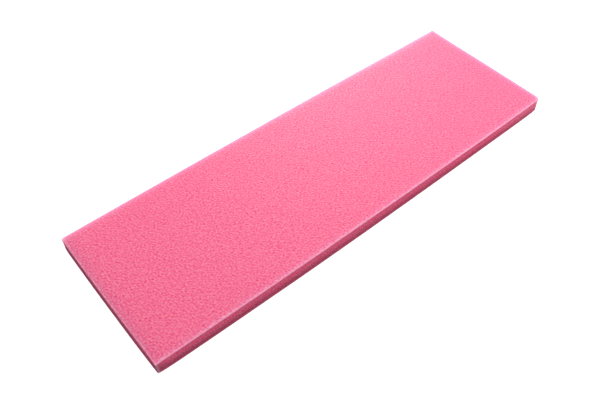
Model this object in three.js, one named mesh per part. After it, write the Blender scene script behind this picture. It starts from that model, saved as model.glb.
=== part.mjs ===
// Nail buffer pad: a thin, flat rectangle of foam with a coated abrasive sheet glued to each face.
//
// Frame, in millimetres: X runs along the pad, Y across it and Z up through its layers. The origin is
// the middle of the underside, so the pad lies on the plane Z = 0 and either face can be the one in use.
//
// The pad is die-cut from a laminated sheet. Each long side stands out a little at mid-length and each
// end a little at mid-width, because the foam is squeezed by the blade and springs back.

import * as THREE from "three";

// Overall size, measured at the middle of each bowed side, and from grit to grit.
const LENGTH = 90;
const WIDTH = 30;
const THICKNESS = 3;

// The cut outline.
const SIDE_BOW = 0.3;
const END_BOW = 0.1;
const CORNER_RADIUS = 0.4;
const CURVE_STEPS = 8;

// The sheet on each face: abrasive grain in resin, on a backing, on a film of glue.
const GRIT_THICKNESS = 0.15;
const BACKING_THICKNESS = 0.15;
const GLUE_THICKNESS = 0.05;
const FOAM_THICKNESS = THICKNESS - 2 * (GRIT_THICKNESS + BACKING_THICKNESS + GLUE_THICKNESS);

// How far inside the sheets' outline the softer layers end.
const FOAM_INSET = 0.05;
const GLUE_INSET = 0.15;

const foam = new THREE.MeshStandardMaterial({ color: 0xe0667f, roughness: 0.9, metalness: 0 });
const glue = new THREE.MeshStandardMaterial({ color: 0xd98a96, roughness: 0.35, metalness: 0 });
const backing = new THREE.MeshStandardMaterial({ color: 0xf5b3c4, roughness: 0.8, metalness: 0 });
const grit = new THREE.MeshStandardMaterial({ color: 0xfa7ea2, roughness: 0.85, metalness: 0 });

// The pad's outline, moved inwards by inset: four bowed sides joined by small round corners.
function padOutline(inset) {
  const endX = LENGTH / 2 - END_BOW - inset;
  const sideY = WIDTH / 2 - SIDE_BOW - inset;
  const cornerX = endX - CORNER_RADIUS;
  const cornerY = sideY - CORNER_RADIUS;
  // A quadratic curve reaches half-way to its control point.
  const endControl = endX + 2 * END_BOW;
  const sideControl = sideY + 2 * SIDE_BOW;

  const outline = new THREE.Shape();
  outline.moveTo(-cornerX, -sideY);
  outline.quadraticCurveTo(0, -sideControl, cornerX, -sideY);
  outline.absarc(cornerX, -cornerY, CORNER_RADIUS, -Math.PI / 2, 0);
  outline.quadraticCurveTo(endControl, 0, endX, cornerY);
  outline.absarc(cornerX, cornerY, CORNER_RADIUS, 0, Math.PI / 2);
  outline.quadraticCurveTo(0, sideControl, -cornerX, sideY);
  outline.absarc(-cornerX, cornerY, CORNER_RADIUS, Math.PI / 2, Math.PI);
  outline.quadraticCurveTo(-endControl, 0, -endX, -cornerY);
  outline.absarc(-cornerX, -cornerY, CORNER_RADIUS, Math.PI, 1.5 * Math.PI);
  return outline;
}

// One flat layer of the pad, with its lower face at height bottom.
function layer(name, material, thickness, inset, bottom) {
  const geometry = new THREE.ExtrudeGeometry(padOutline(inset), {
    depth: thickness,
    bevelEnabled: false,
    curveSegments: CURVE_STEPS,
  });
  const mesh = new THREE.Mesh(geometry, material);
  mesh.name = name;
  mesh.position.z = bottom;
  return mesh;
}

// The layers from the underside to the top.
const LAYERS = [
  ["lower_grit_coat", grit, GRIT_THICKNESS, 0],
  ["lower_backing_sheet", backing, BACKING_THICKNESS, 0],
  ["lower_glue_film", glue, GLUE_THICKNESS, GLUE_INSET],
  ["foam_core", foam, FOAM_THICKNESS, FOAM_INSET],
  ["upper_glue_film", glue, GLUE_THICKNESS, GLUE_INSET],
  ["upper_backing_sheet", backing, BACKING_THICKNESS, 0],
  ["upper_grit_coat", grit, GRIT_THICKNESS, 0],
];

const pad = new THREE.Group();
let height = 0;
for (const [name, material, thickness, inset] of LAYERS) {
  pad.add(layer(name, material, thickness, inset, height));
  height += thickness;
}

export default pad;
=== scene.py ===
"""A thin nail buffer pad: pink foam with an abrasive sheet glued to each face, lying on a pale table.

Everything is in metres, in the frame of the CAD model: +X along the pad, +Y across it, +Z up through its
layers, with the origin in the middle of the underside. The near long side faces -Y.

Each layer is first laid out flat, as a stack of rings and grids inside the pad's outline, and then
pressed into the shape that die-cutting leaves, with its edges squeezed together and its corners lifted.
"""

import math

import bpy
import numpy as np
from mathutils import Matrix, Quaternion, Vector, noise


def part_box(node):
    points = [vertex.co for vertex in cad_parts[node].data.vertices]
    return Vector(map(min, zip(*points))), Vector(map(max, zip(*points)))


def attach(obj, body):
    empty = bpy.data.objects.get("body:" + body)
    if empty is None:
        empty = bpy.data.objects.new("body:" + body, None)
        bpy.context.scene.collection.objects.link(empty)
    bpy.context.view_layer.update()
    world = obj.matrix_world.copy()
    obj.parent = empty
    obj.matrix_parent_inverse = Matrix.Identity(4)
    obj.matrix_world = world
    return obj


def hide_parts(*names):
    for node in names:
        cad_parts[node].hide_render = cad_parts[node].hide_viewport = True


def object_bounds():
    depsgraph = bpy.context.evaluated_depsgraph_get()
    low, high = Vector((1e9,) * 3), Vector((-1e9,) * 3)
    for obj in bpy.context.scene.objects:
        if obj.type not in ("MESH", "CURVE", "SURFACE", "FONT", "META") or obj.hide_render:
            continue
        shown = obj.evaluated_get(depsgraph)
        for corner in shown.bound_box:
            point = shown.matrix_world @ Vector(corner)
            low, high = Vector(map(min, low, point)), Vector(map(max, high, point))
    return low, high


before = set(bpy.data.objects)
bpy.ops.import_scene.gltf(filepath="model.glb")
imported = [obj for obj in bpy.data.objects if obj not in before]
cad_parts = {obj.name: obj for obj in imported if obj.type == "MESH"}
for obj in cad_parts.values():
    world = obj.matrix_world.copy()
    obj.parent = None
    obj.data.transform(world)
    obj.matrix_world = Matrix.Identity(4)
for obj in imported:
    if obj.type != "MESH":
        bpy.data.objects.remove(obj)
cad_low, cad_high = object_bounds()

MM = 0.001

# ---------------------------------------------------------------- the pad's sizes

HALF_LENGTH = (cad_high.x - cad_low.x) / 2
HALF_WIDTH = (cad_high.y - cad_low.y) / 2
THICKNESS = cad_high.z - cad_low.z

# The four corners, by which ends of X and Y they are at: how far the long sides and the ends draw in on
# the way to each one, how round it is, seen from above, how far its upper edge is pushed in along each
# side, and how far along the cut sides from it the layers are rubbed pale, a paleness that is partly a
# painted highlight of the corner catching light.
SIDE_BOWS = {(-1, -1): 0.34 * MM, (1, -1): 0.34 * MM, (1, 1): 0.26 * MM, (-1, 1): 0.21 * MM}
END_BOWS = {(-1, -1): 0.1 * MM, (1, -1): 0.1 * MM, (1, 1): -0.07 * MM, (-1, 1): 0.1 * MM}
CORNER_RADII = {(-1, -1): 0.18 * MM, (1, -1): 0.75 * MM, (1, 1): 0.1 * MM, (-1, 1): 0.3 * MM}
CORNER_PUSHES = {(-1, -1): 0.0 * MM, (1, -1): 0.12 * MM, (1, 1): 0.0 * MM, (-1, 1): 0.0 * MM}
CORNER_PUSH_REACH = 1.0 * MM
RUBBED_AND_HIGHLIT_REACHES = {(-1, -1): 0.3 * MM, (1, -1): 0.55 * MM, (1, 1): 0.2 * MM, (-1, 1): 0.6 * MM}

# The upper layers' heights, from the CAD model. The lower ones mirror them.
COAT_BOTTOM, COAT_TOP = (corner.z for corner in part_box("upper_grit_coat"))
BACKING_BOTTOM, BACKING_TOP = (corner.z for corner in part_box("upper_backing_sheet"))
GLUE_BOTTOM, GLUE_TOP = (corner.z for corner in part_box("upper_glue_film"))
FOAM_BOTTOM, FOAM_TOP = (corner.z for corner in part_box("foam_core"))
FOAM_INSET = HALF_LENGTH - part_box("foam_core")[1].x
# The glue is squeezed out almost as far as the layers beside it.
GLUE_INSET = 0.06 * MM

# What die-cutting does to the pad: the foam swells the upper face but is squeezed in towards its edges and
# stands out a little at mid-height, and the lower corners curl up off the table.
FACE_SWELL = 0.22 * MM
EDGE_DIP = 0.2 * MM
EDGE_DIP_REACH = 0.9 * MM
# The share of the upper face's dip that the underside has.
UNDERSIDE_DIP_SHARE = 0.05
COAT_EDGE_RADIUS = 0.05 * MM
FOAM_BULGE = 0.22 * MM
BULGE_CORNER_REACH = 1.0 * MM
CORNER_LIFT = 0.36 * MM
CORNER_LIFT_REACH = 1.4 * MM
# The lift fades out upwards through the pad with this power, so mostly near the foot.
LIFT_POWER = 1.5

# The lower sheet lies a little askew, so the near side leans out towards its foot over part of its length.
FOOT_LEAN = 0.09 * MM
FOOT_LEAN_MIDDLE = -12 * MM
FOOT_LEAN_REACH = 22 * MM

# The cut rims of the thin sheets: how far they wander, over what length, and how far they bulge.
PAPER_FRAY = 0.012 * MM
PAPER_BULGE = 0.01 * MM
GLUE_FRAY = 0.02 * MM
GLUE_BULGE = 0.03 * MM
FRAY_LENGTH = 0.35 * MM

# The abrasive face's relief: uneven bumps on a slow swell.
BUMP_FINEST = 0.5 * MM
BUMP_COARSEST = 1.2 * MM
BUMP_HEIGHT = 0.005 * MM
# How far the middle of the relief lies below the flat layout's face, which its tops then don't pass.
RELIEF_DEPTH = 1.5 * BUMP_HEIGHT
SWELL_FINEST = 8.0 * MM
SWELL_COARSEST = 40.0 * MM
SWELL_HEIGHT = 0.008 * MM

# How the grit's tone varies from place to place, and the single grains, which are too fine for the mesh.
TONE_FINEST = 0.38 * MM
TONE_COARSEST = 2.2 * MM
TONE_CRISPNESS = 1.1 * MM
GRAIN_SIZE = 0.18 * MM
# How much the bumps add to the tone: their tops are painted paler and their dips deeper, partly as wear and
# partly as painted highlight and shade.
BUMP_PAINTED_SHADING = 0.2

# Where the grit is worn, with painted light on it: a pale, ragged line just inside some edges, partly a
# painted edge highlight, and a lilac haze that fades away from all of them, partly a painted sheen,
# strongest at the right and far edges. The shares are those of the new colour at the near, right, far and
# left edges.
LINE_SHARES = (0.27, 0.05, 0.0, 0.20)
LINE_WIDTH = 0.28 * MM
LINE_RAG = 0.12 * MM
LINE_BLUR = 0.3 * LINE_WIDTH
HAZE_AND_SHEEN_SHARES = (0.20, 0.54, 0.50, 0.11)
HAZE_AND_SHEEN_REACH = 0.43 * MM
HAZE_AND_SHEEN_CORNER_REACH = 0.8 * MM
# The share of the haze, with its painted sheen, that is missing at a corner.
HAZE_AND_SHEEN_CORNER_LOSS = 0.6
# Painted shade: how much more ashen than elsewhere the grit is made at its left edge, with its red lowered
# to stand in for the shade there.
LEFT_EDGE_PAINTED_SHADE = 1.3
LEFT_EDGE_PAINTED_SHADE_REACH = 1.2 * MM

# The foam's opened cells on the cut sides.
CELL_SIZE = 0.5 * MM
CELL_DEPTH = 0.05 * MM
# A value of the ash noise that leaves no ash at all, and how far down the foam that cleanness reaches.
CLEAN = 2.0
CLEAN_REACH = 0.5 * MM

# Towards this corner of the foam, its cut sides are dusty.
DUSTY_CORNER = (HALF_LENGTH, -HALF_WIDTH)
DUST_SHARE = 0.08
DUST_REACH = 12 * MM
# How much painted shade darkens the foot of the cut foam at the left end. The painted shade fades out
# upwards and towards the right.
FOAM_PAINTED_SHADE = 0.8
# Powers that shape the fading: below 1 it is slow near the foot, above 1 it is quick near the left end.
PAINTED_SHADE_UP_POWER = 0.7
PAINTED_SHADE_ALONG_POWER = 1.5

# How finely the pieces are meshed.
COAT_STEP = 0.185 * MM
FOAM_STEP = 0.09 * MM
SHEET_STEP = 0.15 * MM
EDGE_BAND = 0.45 * MM
EDGE_STEP = 0.075 * MM
NOISE_STEP = 0.1 * MM
RIM_ROWS = 5
# Where two faces turn by more than this, the shading shows an edge.
SHARP_ANGLE = math.radians(60)
# How far in from its rim each ring of a flat hidden face lies, close enough to follow the pressed edge.
FLAT_INSETS = [0.0, 0.15 * MM, 0.3 * MM, 0.5 * MM, 0.8 * MM, 1.3 * MM]

# What starts the random draws of each piece.
SIDE_SEEDS = {"upper": 11, "lower": 23}
FOAM_SEED = 37


# ---------------------------------------------------------------- the outline

def stations(half, step):
    """Places from -1 to 1 across a span of 2 * half, step apart, with closer ones in a band at each end."""
    edge_count = max(2, round(EDGE_BAND / min(step, EDGE_STEP)))
    inner_count = round(2 * (half - EDGE_BAND) / step)
    band = np.linspace(half - EDGE_BAND, half, edge_count + 1)[1:]
    inner = np.linspace(-(half - EDGE_BAND), half - EDGE_BAND, inner_count + 1)
    return np.concatenate([-band[::-1], inner, band]) / half


def by_corner(sizes, x, y):
    """The size of the corner in whose quarter of the pad each point is."""
    found = np.zeros(np.broadcast(x, y).shape)
    for (side_x, side_y), size in sizes.items():
        found[(side_x * x >= 0) & (side_y * y >= 0)] = size
    return found


def plan(u, v, inset):
    """Where the point u, v of a square from -1 to 1 lies on the pad, with the outline moved in by inset."""
    reach_x = HALF_LENGTH - by_corner(END_BOWS, u, v) * v**2 - inset
    reach_y = HALF_WIDTH - by_corner(SIDE_BOWS, u, v) * u**2 - inset
    x, y = np.abs(u) * reach_x, np.abs(v) * reach_y
    radius = by_corner(CORNER_RADII, u, v)
    # How far into the corner's square the point is, from 0 to 1 each way.
    a = np.clip((x - reach_x) / radius + 1, 0, 1)
    b = np.clip((y - reach_y) / radius + 1, 0, 1)
    in_corner = (a > 0) & (b > 0)
    round_x = reach_x + radius * (a * np.sqrt(1 - b**2 / 2) - 1)
    round_y = reach_y + radius * (b * np.sqrt(1 - a**2 / 2) - 1)
    x = np.where(in_corner, round_x, x)
    y = np.where(in_corner, round_y, y)
    return np.sign(u) * x, np.sign(v) * y


def edge_gaps(x, y):
    """How far a point is inside the near, right, far and left edges of the pad."""
    reach_x = HALF_LENGTH - by_corner(END_BOWS, x, y) * (y / HALF_WIDTH) ** 2
    reach_y = HALF_WIDTH - by_corner(SIDE_BOWS, x, y) * (x / HALF_LENGTH) ** 2
    return np.maximum([reach_y + y, reach_x - x, reach_y - y, reach_x + x], 0)


def edge_distance(x, y):
    """How far inside the pad's outline a point is."""
    near, right, far, left = edge_gaps(x, y)
    gap_x, gap_y = np.minimum(left, right), np.minimum(near, far)
    radius = by_corner(CORNER_RADII, x, y)
    corner_x = np.maximum(radius - gap_x, 0)
    corner_y = np.maximum(radius - gap_y, 0)
    beside = np.minimum(gap_x, gap_y)
    return np.where((corner_x > 0) & (corner_y > 0), radius - np.hypot(corner_x, corner_y), beside)


def corner_distance(x, y):
    """How far a point is, seen from above, from the nearest of the pad's four corners."""
    reach_x = HALF_LENGTH - by_corner(END_BOWS, x, y)
    reach_y = HALF_WIDTH - by_corner(SIDE_BOWS, x, y)
    return np.hypot(reach_x - np.abs(x), reach_y - np.abs(y))


def rubbed_and_highlit(x, y):
    """How rubbed a point is by the pad's nearest corner, from 0 to 1, a paleness that is partly a painted
    highlight of the corner.
    """
    return np.exp(-((corner_distance(x, y) / by_corner(RUBBED_AND_HIGHLIT_REACHES, x, y)) ** 2))


def outline_walk(us, vs):
    """The u, v of each station once round the square's edge, anticlockwise from its low corner."""
    u = np.concatenate([us[:-1], np.ones(len(vs) - 1), us[:0:-1], -np.ones(len(vs) - 1)])
    v = np.concatenate([-np.ones(len(us) - 1), vs[:-1], np.ones(len(us) - 1), vs[:0:-1]])
    return u, v


def outward(u, v):
    """The level direction out of the pad at each station of an outline walk."""
    x, y = plan(u, v, 0.0)
    along_x = np.roll(x, -1) - np.roll(x, 1)
    along_y = np.roll(y, -1) - np.roll(y, 1)
    length = np.hypot(along_x, along_y)
    return along_y / length, -along_x / length


# ---------------------------------------------------------------- pressing the flat layout

def pressed(points):
    """Moves points of the flat layout to where the die-cut pad has them."""
    x, y, z = points.T
    # The edges' squeezes run into each other smoothly at the corners.
    dip = EDGE_DIP * (1 - np.prod(1 - np.exp(-edge_gaps(x, y) / EDGE_DIP_REACH), axis=0))
    height = z / THICKNESS
    # From 1 at the upper face evenly down to -1 at the underside, so that no two layers cross.
    side = 2 * height - 1
    z = z + np.where(side > 0, (FACE_SWELL - dip) * side, -UNDERSIDE_DIP_SHARE * dip * side)
    # The lift of the corners dies away through the foam, and the push and the lean change evenly.
    lift = CORNER_LIFT * np.exp(-corner_distance(x, y) / CORNER_LIFT_REACH)
    z = z + lift * np.clip(1 - height, 0, 1) ** LIFT_POWER
    push = by_corner(CORNER_PUSHES, x, y) * np.exp(-corner_distance(x, y) / CORNER_PUSH_REACH)
    push = push * np.clip(height, 0, 1)
    lean = FOOT_LEAN * np.exp(-(((x - FOOT_LEAN_MIDDLE) / FOOT_LEAN_REACH) ** 2))
    lean = lean * np.clip(1 - height, 0, 1)
    x, y = x - push * np.sign(x), y - push * np.sign(y) - lean
    return np.stack([x, y, z], axis=1)


# ---------------------------------------------------------------- making meshes

def loft(rings):
    """Quads between each ring of point numbers and the next. Rings run anticlockwise, seen from above."""
    faces = []
    for upper, lower in zip(rings[:-1], rings[1:]):
        faces.append(np.stack([upper, lower, np.roll(lower, -1), np.roll(upper, -1)], axis=1))
    return np.concatenate(faces)


def fan(centre, ring):
    """Triangles from a middle point to each step of a ring, facing up."""
    return np.stack([np.full(len(ring), centre), ring, np.roll(ring, -1)], axis=1)


def make_piece(name, points, quads, triangles, attributes, material, node):
    """A closed mesh that stands for a CAD node, with its named numbers stored on its points."""
    mesh = bpy.data.meshes.new(name)
    mesh.from_pydata(points.tolist(), [], quads.tolist() + triangles.tolist())
    for label, values in attributes.items():
        stored = mesh.attributes.new(label, "FLOAT", "POINT")
        stored.data.foreach_set("value", values.astype(np.float32))
    mesh.shade_smooth()
    mesh.set_sharp_from_angle(angle=SHARP_ANGLE)
    mesh.materials.append(material)
    piece = bpy.data.objects.new(name, mesh)
    bpy.context.scene.collection.objects.link(piece)
    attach(piece, "root")
    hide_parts(node)
    return piece


def turned_over(points, quads, triangles):
    """The same layer for the underside: mirrored in the pad's middle plane, with its faces kept outward."""
    mirrored = points * [1, 1, -1] + [0, 0, THICKNESS]
    return mirrored, quads[:, ::-1], triangles[:, ::-1]


def mottle(rng, shape, pitch, finest, coarsest, crispness=0.0):
    """Noise on a lattice, with bumps of every width from finest to coarsest, mean 0 and deviation about 1.

    Crispness is a width: bumps narrower than it are made stronger than the wider ones.
    """
    turns_x = np.fft.fftfreq(shape[0], pitch)[:, None]
    turns_y = np.fft.fftfreq(shape[1], pitch)[None, :]
    turns = np.hypot(turns_x, turns_y)
    band = np.exp(-((turns * finest) ** 8)) * (1 - np.exp(-((turns * coarsest) ** 2)))
    band *= 1 + (turns * crispness) ** 2
    field = np.fft.ifft2(np.fft.fft2(rng.standard_normal(shape)) * band).real
    # No bump stands out more than twice as far as is usual.
    return 2 * np.tanh(field / field.std() / 2)


def sampled(field, pitch, x, y):
    """The value of a lattice of noise, centred on the pad, at each x, y."""
    column = (x + HALF_LENGTH) / pitch
    row = (y + HALF_WIDTH) / pitch
    i, j = np.floor(column).astype(int), np.floor(row).astype(int)
    i, j = np.clip(i, 0, field.shape[0] - 2), np.clip(j, 0, field.shape[1] - 2)
    p, q = column - i, row - j
    low = field[i, j] * (1 - p) + field[i + 1, j] * p
    high = field[i, j + 1] * (1 - p) + field[i + 1, j + 1] * p
    return low * (1 - q) + high * q


# ---------------------------------------------------------------- the layers

def flat_rings(u, v, height, insets):
    """Rings of a flat face, one at each distance in from the outline."""
    rings = []
    for inset in insets:
        x, y = plan(u, v, inset)
        rings.append(np.stack([x, y, np.full_like(x, height)], axis=1))
    return rings


def closed_stack(rings):
    """The points and faces of a stack of rings, from the top down, closed by a middle point at each end."""
    top, bottom = rings[0][0, 2], rings[-1][0, 2]
    points = np.concatenate([*rings, [[0, 0, top], [0, 0, bottom]]])
    size = len(rings[0])
    numbers = [k * size + np.arange(size) for k in range(len(rings))]
    cap = fan(len(points) - 2, numbers[0])
    floor_cap = fan(len(points) - 1, numbers[-1])[:, ::-1]
    return points, loft(numbers), np.concatenate([cap, floor_cap])


def coat_wear_and_painted_light(x, y, rag):
    """How strong the worn line, partly a painted edge highlight, and the haze, partly a painted sheen, are
    at points of the grit's face.
    """
    line, haze_and_sheen = np.zeros_like(x), np.zeros_like(x)
    for gap, line_share, haze_share in zip(edge_gaps(x, y), LINE_SHARES, HAZE_AND_SHEEN_SHARES):
        past_line = (gap + rag - LINE_WIDTH) / LINE_BLUR
        line = np.maximum(line, line_share * (1 - np.tanh(past_line)) / 2)
        haze_and_sheen = np.maximum(haze_and_sheen, haze_share * np.exp(-gap / HAZE_AND_SHEEN_REACH))
    haze_and_sheen *= 1 - HAZE_AND_SHEEN_CORNER_LOSS * np.exp(-corner_distance(x, y) / HAZE_AND_SHEEN_CORNER_REACH)
    return line, haze_and_sheen


def grit_coat(seed):
    """The abrasive coat's flat layout: a bumpy grid on top, a rolled edge and a plain underside."""
    rng = np.random.default_rng(seed)
    us, vs = stations(HALF_LENGTH, COAT_STEP), stations(HALF_WIDTH, COAT_STEP)
    grid_u, grid_v = np.meshgrid(us, vs, indexing="ij")
    x, y = plan(grid_u, grid_v, 0.0)
    shape = (round(2 * HALF_LENGTH / NOISE_STEP) + 2, round(2 * HALF_WIDTH / NOISE_STEP) + 2)

    def spots(finest, coarsest, crispness=0.0):
        return sampled(mottle(rng, shape, NOISE_STEP, finest, coarsest, crispness), NOISE_STEP, x, y)

    bumps = spots(BUMP_FINEST, BUMP_COARSEST)
    swell = spots(SWELL_FINEST, SWELL_COARSEST)
    tone = spots(TONE_FINEST, TONE_COARSEST, TONE_CRISPNESS)
    tint = spots(TONE_FINEST, TONE_COARSEST, TONE_CRISPNESS)
    ash = spots(TONE_FINEST, TONE_COARSEST, TONE_CRISPNESS)
    rag = LINE_RAG * spots(BUMP_FINEST, BUMP_COARSEST)

    inside = edge_distance(x, y)
    into_roll = np.clip(1 - inside / COAT_EDGE_RADIUS, 0, 1)
    roll = COAT_EDGE_RADIUS * (1 - np.sqrt(1 - into_roll**2))
    # The bumps fade to a quarter on and beside the rolled edge, so that the rim stays one clean line.
    fade = np.clip(inside / (3 * COAT_EDGE_RADIUS), 0.25, 1)
    z = COAT_TOP - RELIEF_DEPTH - roll + fade * BUMP_HEIGHT * bumps + SWELL_HEIGHT * swell

    grid = np.arange(x.size).reshape(x.shape)
    top = np.stack([grid[1:, :-1], grid[1:, 1:], grid[:-1, 1:], grid[:-1, :-1]], axis=-1).reshape(-1, 4)
    rim = np.concatenate([grid[:-1, 0], grid[-1, :-1], grid[:0:-1, -1], grid[0, :0:-1]])

    u, v = outline_walk(us, vs)
    under = flat_rings(u, v, COAT_BOTTOM, FLAT_INSETS)
    layout = [np.stack([x.ravel(), y.ravel(), z.ravel()], axis=1), *under, [[0, 0, COAT_BOTTOM]]]
    points = np.concatenate(layout)
    rings = [rim] + [x.size + k * len(u) + np.arange(len(u)) for k in range(len(under))]
    quads = np.concatenate([top, loft(rings)])
    triangles = fan(len(points) - 1, rings[-1])[:, ::-1]

    # Only the coat's face is worn, mottled and given its painted highlight and sheen, not its cut side or
    # its hidden underside.
    line, haze_and_sheen = coat_wear_and_painted_light(x, y, rag)
    # Painted shade: the grit's red is lowered towards its left edge.
    left_gap = edge_gaps(x, y)[3]
    ash -= LEFT_EDGE_PAINTED_SHADE * np.exp(-left_gap / LEFT_EDGE_PAINTED_SHADE_REACH)
    # The bumps' tops are painted paler and their dips deeper, partly as painted light.
    face_values = {"tone": tone + BUMP_PAINTED_SHADING * bumps, "tint": tint, "ash": ash, "line": line, "haze_and_sheen": haze_and_sheen}
    hidden = len(points) - x.size
    attributes = {label: np.pad(values.ravel(), (0, hidden)) for label, values in face_values.items()}
    attributes["ash"][x.size:] = CLEAN
    attributes["rubbed_and_highlit"] = rubbed_and_highlit(points[:, 0], points[:, 1])
    return points, quads, triangles, attributes


def sheet(bottom, top, inset, seed, fray, bulge):
    """A thin sheet's flat layout. Its cut rim bulges by bulge at mid-height and wanders by fray."""
    us, vs = stations(HALF_LENGTH, SHEET_STEP), stations(HALF_WIDTH, SHEET_STEP)
    u, v = outline_walk(us, vs)
    out_x, out_y = outward(u, v)
    rim_x, rim_y = plan(u, v, inset)
    insets = [inset + depth for depth in FLAT_INSETS[1:]]
    rings = flat_rings(u, v, top, insets[::-1])
    for share in np.linspace(1, 0, RIM_ROWS):
        height = bottom + share * (top - bottom)
        wander = [
            noise.noise(Vector((a, b, height)) / FRAY_LENGTH + Vector((seed, 0, 0)))
            for a, b in zip(rim_x, rim_y)
        ]
        out = bulge * (1 - (2 * share - 1) ** 2) + fray * np.array(wander)
        cut_x, cut_y = rim_x + out * out_x, rim_y + out * out_y
        rings.append(np.stack([cut_x, cut_y, np.full_like(rim_x, height)], axis=1))
    rings += flat_rings(u, v, bottom, insets)

    points, quads, triangles = closed_stack(rings)
    return points, quads, triangles, {"rubbed_and_highlit": rubbed_and_highlit(points[:, 0], points[:, 1])}


def cell_walls(points, size):
    """For each point, 0 in the middle of the foam cell that it cuts and 1 on the wall between two cells."""
    shares = []
    for point in points / size:
        nearest, second = noise.voronoi(Vector(point))[0][:2]
        shares.append(nearest / max(second, 1e-6))
    return np.array(shares)


def foam_core():
    """The foam's flat layout: cut sides with opened cells and a slight bulge, between two hidden faces."""
    us, vs = stations(HALF_LENGTH, FOAM_STEP), stations(HALF_WIDTH, FOAM_STEP)
    u, v = outline_walk(us, vs)
    out_x, out_y = outward(u, v)
    side_x, side_y = plan(u, v, FOAM_INSET)
    beside = 1 - np.exp(-((corner_distance(side_x, side_y) / BULGE_CORNER_REACH) ** 2))

    row_count = round((FOAM_TOP - FOAM_BOTTOM) / FOAM_STEP) + 1
    rng = np.random.default_rng(FOAM_SEED)
    tones = mottle(rng, (row_count, len(u)), FOAM_STEP, TONE_FINEST, TONE_COARSEST, TONE_CRISPNESS)
    ashes = mottle(rng, (row_count, len(u)), FOAM_STEP, TONE_FINEST, TONE_COARSEST, TONE_CRISPNESS)
    # The foam is cleaner, so less ashen, towards its upper face.
    depths = np.linspace(0, FOAM_TOP - FOAM_BOTTOM, row_count)
    ashes += CLEAN * np.exp(-depths / CLEAN_REACH)[:, None]
    rings, walls = [], []
    for share in np.linspace(1, 0, row_count):
        height = FOAM_BOTTOM + share * (FOAM_TOP - FOAM_BOTTOM)
        flat = np.stack([side_x, side_y, np.full_like(side_x, height)], axis=1)
        wall = cell_walls(flat, CELL_SIZE)
        # The cells close up against the glued faces, and they and the bulge die away at the corners.
        open_share = np.clip(6 * share * (1 - share), 0, 1) * beside
        into = CELL_DEPTH * open_share * (1 - wall**2) - FOAM_BULGE * 4 * share * (1 - share) * beside
        rings.append(flat - np.stack([into * out_x, into * out_y, np.zeros_like(into)], axis=1))
        walls.append(1 - open_share * (1 - wall))

    insets = [FOAM_INSET + depth for depth in FLAT_INSETS[1:]]
    rings = flat_rings(u, v, FOAM_TOP, insets[::-1]) + rings + flat_rings(u, v, FOAM_BOTTOM, insets)
    points, quads, triangles = closed_stack(rings)

    from_corner = np.hypot(side_x - DUSTY_CORNER[0], side_y - DUSTY_CORNER[1])
    # The dust lies thicker where the foam is less ashen.
    dust = DUST_SHARE * np.exp(-((from_corner / DUST_REACH) ** 2)) * np.clip(1 + 0.5 * ashes, 0, 2)
    towards_left = np.clip((1 - side_x / HALF_LENGTH) / 2, 0, 1)
    towards_foot = depths / depths[-1]
    # Painted shade, darkest at the foot near the left end.
    soil = FOAM_PAINTED_SHADE * np.outer(towards_foot**PAINTED_SHADE_UP_POWER, towards_left**PAINTED_SHADE_ALONG_POWER)
    hidden = len(insets) * len(u)
    cut_values = {"dust": dust, "tone": tones, "ash": ashes, "soil": soil}
    around = (hidden, hidden + 2)
    attributes = {label: np.pad(values.ravel(), around) for label, values in cut_values.items()}
    attributes["wall"] = np.pad(np.concatenate(walls), around, constant_values=1)
    attributes["rubbed_and_highlit"] = rubbed_and_highlit(points[:, 0], points[:, 1])
    return points, quads, triangles, attributes


# ---------------------------------------------------------------- materials

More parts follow.
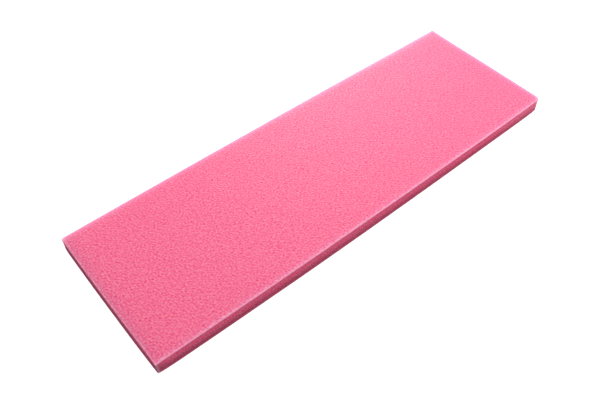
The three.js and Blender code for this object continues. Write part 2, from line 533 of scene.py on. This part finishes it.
class Shader:
    """A small helper that adds nodes to a material and links them."""

    def __init__(self, name):
        self.material = bpy.data.materials.new(name)
        self.material.use_nodes = True
        self.tree = self.material.node_tree
        self.surface = self.tree.nodes["Principled BSDF"]

    def node(self, kind, inputs=None, **settings):
        """Adds a node, sets its own settings, and links or sets its inputs."""
        made = self.tree.nodes.new("ShaderNode" + kind)
        for key, value in settings.items():
            setattr(made, key, value)
        for key, value in (inputs or {}).items():
            if isinstance(value, bpy.types.NodeSocket):
                self.tree.links.new(value, made.inputs[key])
            else:
                made.inputs[key].default_value = value
        return made

    def set(self, **inputs):
        """Links or sets the inputs of the Principled surface, with spaces in their names as underscores."""
        for key, value in inputs.items():
            socket = self.surface.inputs[key.replace("_", " ")]
            if isinstance(value, bpy.types.NodeSocket):
                self.tree.links.new(value, socket)
            else:
                socket.default_value = value

    def place(self):
        """The piece's own coordinates, which are the pad's, in metres."""
        return self.node("TexCoord").outputs["Object"]

    def number(self, label):
        """A number stored on the mesh's points."""
        return self.node("Attribute", attribute_name=label).outputs["Fac"]

    def grain(self, size, detail=2.0, roughness=0.5):
        """Noise from 0 to 1 whose lumps are about size across."""
        found = self.node(
            "TexNoise",
            {"Vector": self.place(), "Scale": 1 / size, "Detail": detail, "Roughness": roughness},
        )
        return found.outputs["Fac"]

    def grains(self, size):
        """Grains about size across: a random number for each one, and the distance from its middle."""
        found = self.node("TexVoronoi", {"Vector": self.place(), "Scale": 1 / size})
        split = self.node("SeparateColor", {"Color": found.outputs["Color"]})
        return split.outputs["Red"], found.outputs["Distance"]

    def math(self, operation, a, b=0.0, c=0.0):
        """One sum on two or three numbers."""
        return self.node("Math", {0: a, 1: b, 2: c}, operation=operation).outputs["Value"]

    def scaled(self, value, share, added=0.0):
        """value times share, plus added."""
        return self.math("MULTIPLY_ADD", value, share, added)

    def spread(self, value, low, high, to_low, to_high):
        """value from low..high to to_low..to_high, held at the ends."""
        found = self.node(
            "MapRange",
            {"Value": value, "From Min": low, "From Max": high, "To Min": to_low, "To Max": to_high},
            interpolation_type="SMOOTHSTEP",
        )
        return found.outputs["Result"]

    def held(self, value):
        """value, held between 0 and 1."""
        return self.node("MapRange", {"Value": value}).outputs["Result"]

    def blend(self, share, first, second, kind="MIX"):
        """A colour share of the way from first to second, or, if kind says so, to their product."""
        mix = self.node("Mix", data_type="RGBA", blend_type=kind)
        for socket, value in zip((mix.inputs[0], mix.inputs[6], mix.inputs[7]), (share, first, second)):
            if isinstance(value, bpy.types.NodeSocket):
                self.tree.links.new(value, socket)
            else:
                socket.default_value = value
        return mix.outputs[2]

    def bump(self, height, distance, strength):
        """A normal bent by height, which is in shares of distance."""
        found = self.node("Bump", {"Height": height, "Distance": distance, "Strength": strength})
        return found.outputs["Normal"]


def colour(red, green, blue):
    """A linear colour with full alpha."""
    return (red, green, blue, 1.0)


# Handling rubs every layer pale at the pad's corners, and the paleness is partly a painted highlight of the
# corners catching light. The shares are the most of each colour that shows.
CORNER_PALE_PINK = colour(1.00, 0.54, 0.71)
RUBBED_AND_HIGHLIT_SHARE = 0.85
RUBBED_AND_HIGHLIT_GRIT = colour(1.00, 0.62, 0.82)
RUBBED_AND_HIGHLIT_GRIT_SHARE = 0.7
# Painted shade: what the shade near the table takes away from the layers that the pad lies on, and from the
# foot of the foam.
PAINTED_SHADE_TINT = colour(0.70, 0.84, 0.90)
NO_TINT = colour(1, 1, 1)

# How far along its range, from 0 to 1, each of these goes for a step of 1 in the number stored for it.
TONE_SPREAD = 0.325
TINT_SPREAD = 0.27
ASH_SPREAD = 0.29
# Where each of them is, on average, when the stored number is 0.
MIDDLE = 0.5
# How much of the tone's range the grains' own random numbers take up.
GRAIN_SPREAD = 0.3

GRIT_DEEP = colour(0.87, 0.010, 0.194)
GRIT_PALE = colour(1.00, 0.225, 0.422)
# The worn line's pale colour is partly a painted edge highlight.
WORN_AND_HIGHLIT_LINE = colour(1.00, 0.56, 0.74)
# The haze's lilac colour is partly a painted sheen.
HAZE_AND_PAINTED_SHEEN = colour(0.97, 0.62, 1.00)
LINE_PATCH_SIZE = 0.25 * MM
# What the tints take away: an orange grain is short of blue, and an ashen one of red.
ORANGE_TINT = colour(0.97, 1.00, 0.58)
ASHEN_TINT = colour(0.755, 1.00, 1.00)


def grit_material():
    """Fine abrasive grain in pink resin, uneven in tone and tint from grain to grain, with worn edges that
    also carry a painted highlight and sheen, pale corners that are partly a painted highlight, and painted
    shade on the lower coat.
    """
    shader = Shader("pink_grit")
    grain, from_middle = shader.grains(GRAIN_SIZE)
    own_tone = shader.scaled(grain, GRAIN_SPREAD, MIDDLE - GRAIN_SPREAD / 2)
    tone = shader.scaled(shader.number("tone"), TONE_SPREAD, own_tone)
    tint = shader.scaled(shader.number("tint"), TINT_SPREAD, MIDDLE)
    ash = shader.scaled(shader.number("ash"), ASH_SPREAD, MIDDLE)
    grains = shader.blend(shader.held(tone), GRIT_DEEP, GRIT_PALE)
    tints = shader.blend(shader.held(tint), ORANGE_TINT, NO_TINT)
    ashes = shader.blend(shader.held(ash), ASHEN_TINT, NO_TINT)
    grains = shader.blend(1.0, grains, tints, "MULTIPLY")
    grains = shader.blend(1.0, grains, ashes, "MULTIPLY")

    # The worn line, partly a painted edge highlight, is patchy: its share is multiplied by 1 on average.
    patches = shader.math("ADD", shader.grain(LINE_PATCH_SIZE), 0.5)
    # Painted sheen: the haze pales the grit towards its edges, most at the right and far ones, partly as
    # wear.
    worn_and_painted_light = shader.blend(shader.number("haze_and_sheen"), grains, HAZE_AND_PAINTED_SHEEN)
    worn_and_painted_light = shader.blend(shader.math("MULTIPLY", shader.number("line"), patches), worn_and_painted_light, WORN_AND_HIGHLIT_LINE)
    # Painted highlight: the corners are paled, partly as rubbing and partly as light caught on them.
    worn_and_painted_light = shader.blend(shader.scaled(shader.number("rubbed_and_highlit"), RUBBED_AND_HIGHLIT_GRIT_SHARE), worn_and_painted_light, RUBBED_AND_HIGHLIT_GRIT)
    # Painted shade on the lower coat, which lies on the table.
    worn_and_painted_light = shader.blend(shader.number("soil"), worn_and_painted_light, PAINTED_SHADE_TINT, "MULTIPLY")
    shader.set(
        Base_Color=worn_and_painted_light,
        Roughness=shader.spread(tone, 0.0, 1.0, to_low=0.68, to_high=0.52),
        Normal=shader.bump(from_middle, distance=0.02 * MM, strength=0.6),
        Specular_IOR_Level=0.5,
        Sheen_Weight=0.03,
        Sheen_Roughness=0.5,
    )
    return shader.material


FOAM_DEEP = colour(0.98, 0.024, 0.156)
FOAM_PALE = colour(1.00, 0.200, 0.342)
FOAM_ASHEN_TINT = colour(0.73, 1.00, 0.84)
FOAM_TONE_SPREAD = 0.22
FOAM_ASH_SPREAD = 0.24
# How much paler the walls between the opened cells are than their hollows, which start from this tone: the
# hollows' deeper pink is painted shade.
WALL_SPREAD = 0.25
HOLLOW_PAINTED_SHADE_TONE = 0.2


def foam_material():
    """Pink closed-cell foam, cut open: deeper pink in the hollows as painted shade, dusty in places,
    darkened at its foot by painted shade and pale at the corners, partly as a painted highlight.
    """
    shader = Shader("pink_foam")
    fleck, from_middle = shader.grains(GRAIN_SIZE)
    own_tone = shader.scaled(fleck, GRAIN_SPREAD, HOLLOW_PAINTED_SHADE_TONE)
    # Painted shade: the hollows of the opened cells are deeper pink than their walls.
    walls = shader.scaled(shader.number("wall"), WALL_SPREAD, own_tone)
    tone = shader.scaled(shader.number("tone"), FOAM_TONE_SPREAD, walls)
    ash = shader.scaled(shader.number("ash"), FOAM_ASH_SPREAD, MIDDLE)
    cut = shader.blend(shader.held(tone), FOAM_DEEP, FOAM_PALE)
    ashes = shader.blend(shader.held(ash), FOAM_ASHEN_TINT, NO_TINT)
    cut = shader.blend(1.0, cut, ashes, "MULTIPLY")
    cut = shader.blend(shader.number("dust"), cut, CORNER_PALE_PINK)
    # Painted shade at the foot, towards the left end.
    cut = shader.blend(shader.number("soil"), cut, PAINTED_SHADE_TINT, "MULTIPLY")
    # Painted highlight: the corners are paled, partly as rubbing and partly as light caught on them.
    cut = shader.blend(shader.scaled(shader.number("rubbed_and_highlit"), RUBBED_AND_HIGHLIT_SHARE), cut, CORNER_PALE_PINK)
    shader.set(
        Base_Color=cut,
        Roughness=shader.spread(tone, 0.0, 1.0, to_low=0.95, to_high=0.75),
        Normal=shader.bump(from_middle, distance=0.015 * MM, strength=0.5),
        Specular_IOR_Level=0.35,
    )
    return shader.material


PAPER_DEEP = colour(0.95, 0.07, 0.17)
PAPER_PALE = colour(1.00, 0.15, 0.27)
FIBRE_SIZE = 0.06 * MM
STAIN_SIZE = 1.6 * MM
RESIN_SHARE = 0.3


def backing_material():
    """Pale pink paper seen along its cut edge, with short fibres standing out of it."""
    shader = Shader("pink_backing_paper")
    fibre = shader.grain(FIBRE_SIZE, detail=4.0, roughness=0.7)
    stain = shader.grain(STAIN_SIZE)
    paper = shader.blend(fibre, PAPER_DEEP, PAPER_PALE)
    # Resin from the grit has run into the paper in places.
    resin = shader.spread(stain, 0.4, 0.7, to_low=0.0, to_high=RESIN_SHARE)
    paper = shader.blend(resin, paper, GRIT_PALE)
    # Painted highlight: the corners are paled, partly as rubbing and partly as light caught on them.
    paper = shader.blend(shader.scaled(shader.number("rubbed_and_highlit"), RUBBED_AND_HIGHLIT_SHARE), paper, CORNER_PALE_PINK)
    # Painted shade on the lower sheet.
    paper = shader.blend(shader.number("soil"), paper, PAINTED_SHADE_TINT, "MULTIPLY")
    shader.set(
        Base_Color=paper,
        Roughness=shader.spread(fibre, 0.2, 0.8, to_low=0.9, to_high=0.7),
        Normal=shader.bump(fibre, distance=0.02 * MM, strength=0.5),
    )
    return shader.material


GLUE_DEEP = colour(0.80, 0.06, 0.14)
GLUE_PALE = colour(0.95, 0.14, 0.24)
GLUE_DUST_SIZE = 0.3 * MM


def glue_material():
    """A film of pressure-sensitive glue: a fine, slightly glossy line with dust caught on it."""
    shader = Shader("glue")
    dust = shader.grain(GLUE_DUST_SIZE, detail=4.0, roughness=0.7)
    film = shader.blend(dust, GLUE_DEEP, GLUE_PALE)
    # Painted highlight: the corners are paled, partly as rubbing and partly as light caught on them.
    film = shader.blend(shader.scaled(shader.number("rubbed_and_highlit"), RUBBED_AND_HIGHLIT_SHARE), film, CORNER_PALE_PINK)
    shader.set(
        Base_Color=film,
        Roughness=shader.spread(dust, 0.3, 0.7, to_low=0.3, to_high=0.6),
        Normal=shader.bump(dust, distance=0.01 * MM, strength=0.5),
    )
    return shader.material


# ---------------------------------------------------------------- building the pad

def add_layer(side, label, node, layout, material):
    """Makes one of the layers beside the foam from its flat layout, which is that of the upper side."""
    points, quads, triangles, attributes = layout
    if side == "lower":
        points, quads, triangles = turned_over(points, quads, triangles)
        # The lower layers are darkened all over by painted shade.
        attributes["soil"] = np.ones(len(points))
    make_piece(side + label, pressed(points), quads, triangles, attributes, material, side + node)


def build_pad():
    """Makes all seven layers, each in place of its CAD node."""
    grit, foam, backing, glue = grit_material(), foam_material(), backing_material(), glue_material()

    for side, seed in SIDE_SEEDS.items():
        paper = sheet(BACKING_BOTTOM, BACKING_TOP, 0.0, seed, PAPER_FRAY, PAPER_BULGE)
        film = sheet(GLUE_BOTTOM, GLUE_TOP, GLUE_INSET, seed, GLUE_FRAY, GLUE_BULGE)
        add_layer(side, "_grit", "_grit_coat", grit_coat(seed), grit)
        add_layer(side, "_paper", "_backing_sheet", paper, backing)
        add_layer(side, "_glue_line", "_glue_film", film, glue)

    points, quads, triangles, attributes = foam_core()
    core = make_piece("foam", pressed(points), quads, triangles, attributes, foam, "foam_core")


# ---------------------------------------------------------------- the table, the light and the camera

TABLE_HALF_SIZE = 4.0
# How far the table lies below the CAD underside, which leaves room for the roughness of the lower grit.
TABLE_GAP = 0.02 * MM
TABLE_GREY = 0.27
# How strongly the surroundings light the pad. The camera sees them pure white.
SKY_STRENGTH = 0.155


def build_table():
    """A plain pale surface under the pad."""
    shader = Shader("pale_table")
    # To the camera the table glows, so that the shadows on it stay pale.
    seen = shader.node("LightPath").outputs["Is Camera Ray"]
    shader.set(
        Base_Color=colour(TABLE_GREY, TABLE_GREY, TABLE_GREY),
        Roughness=0.9,
        Specular_IOR_Level=0.2,
        Emission_Color=colour(1, 1, 1),
        Emission_Strength=seen,
    )
    reach = TABLE_HALF_SIZE
    corners = [(-reach, -reach, 0), (reach, -reach, 0), (reach, reach, 0), (-reach, reach, 0)]
    mesh = bpy.data.meshes.new("table")
    mesh.from_pydata(corners, [], [(0, 1, 2, 3)])
    mesh.materials.append(shader.material)
    table = bpy.data.objects.new("table", mesh)
    bpy.context.scene.collection.objects.link(table)
    table.location.z = -TABLE_GAP


def direction(azimuth, elevation):
    """The direction towards a place at that angle from +X towards +Y, and at that height, in degrees."""
    a, e = math.radians(azimuth), math.radians(elevation)
    return Vector((math.cos(a) * math.cos(e), math.sin(a) * math.cos(e), math.sin(e)))


def add_light(name, towards, distance, strength, size):
    """A round lamp, size across, that shines at the middle of the pad from towards, distance away."""
    light = bpy.data.lights.new(name, "AREA")
    light.energy = strength
    light.shape = "DISK"
    light.size = size
    lamp = bpy.data.objects.new(name, light)
    lamp.location = towards * distance
    lamp.rotation_euler = towards.to_track_quat("Z", "Y").to_euler()
    bpy.context.scene.collection.objects.link(lamp)
    return lamp


def build_light():
    """A soft front light, a low window behind, three small lamps and a little light from all round."""
    add_light("front_light", direction(-28, 50), distance=0.3, strength=0.85, size=0.16)
    add_light("window", direction(50, 20), distance=0.25, strength=0.444, size=0.12)
    add_light("left_lamp", direction(120, 35), distance=0.15, strength=0.055, size=0.08)
    add_light("low_lamp", direction(-150, 24), distance=0.12, strength=0.0090, size=0.05)
    overhead = add_light("overhead_lamp", Vector((0, 0, 1)), distance=0.08, strength=0.013, size=0.05)
    # This one hangs beyond the far side.
    overhead.location += Vector((0.04, 0.08, 0))

    world = bpy.data.worlds.new("studio")
    bpy.context.scene.world = world
    world.use_nodes = True
    nodes, links = world.node_tree.nodes, world.node_tree.links
    background = nodes["Background"]
    background.inputs["Color"].default_value = colour(1, 1, 1)
    path = nodes.new("ShaderNodeLightPath")
    strength = nodes.new("ShaderNodeMapRange")
    strength.inputs["To Min"].default_value = SKY_STRENGTH
    strength.inputs["To Max"].default_value = 1.0
    links.new(path.outputs["Is Camera Ray"], strength.inputs["Value"])
    links.new(strength.outputs["Result"], background.inputs["Strength"])


def build_camera():
    """The camera, at the end of a boom from the pad's middle and slid a little across its own view."""
    back = direction(-129.87, 50.155)
    roll = math.radians(0.06)
    distance = 121.1 * MM
    slide_right, slide_up = -4.25 * MM, -5.92 * MM

    turn = back.to_track_quat("Z", "Y")
    right, up = turn @ Vector((1, 0, 0)), turn @ Vector((0, 1, 0))
    view = bpy.data.cameras.new("camera")
    view.lens = 39.33
    view.sensor_width = 36.0
    view.clip_start = 0.001
    camera = bpy.data.objects.new("camera", view)
    camera.rotation_mode = "QUATERNION"
    camera.rotation_quaternion = turn @ Quaternion((0, 0, 1), roll)
    camera.location = Vector((0, 0, THICKNESS / 2)) + back * distance + right * slide_right + up * slide_up
    bpy.context.scene.collection.objects.link(camera)
    bpy.context.scene.camera = camera


build_camera()
build_table()
build_light()
build_pad()

view_settings = bpy.context.scene.view_settings
view_settings.view_transform = "Standard"
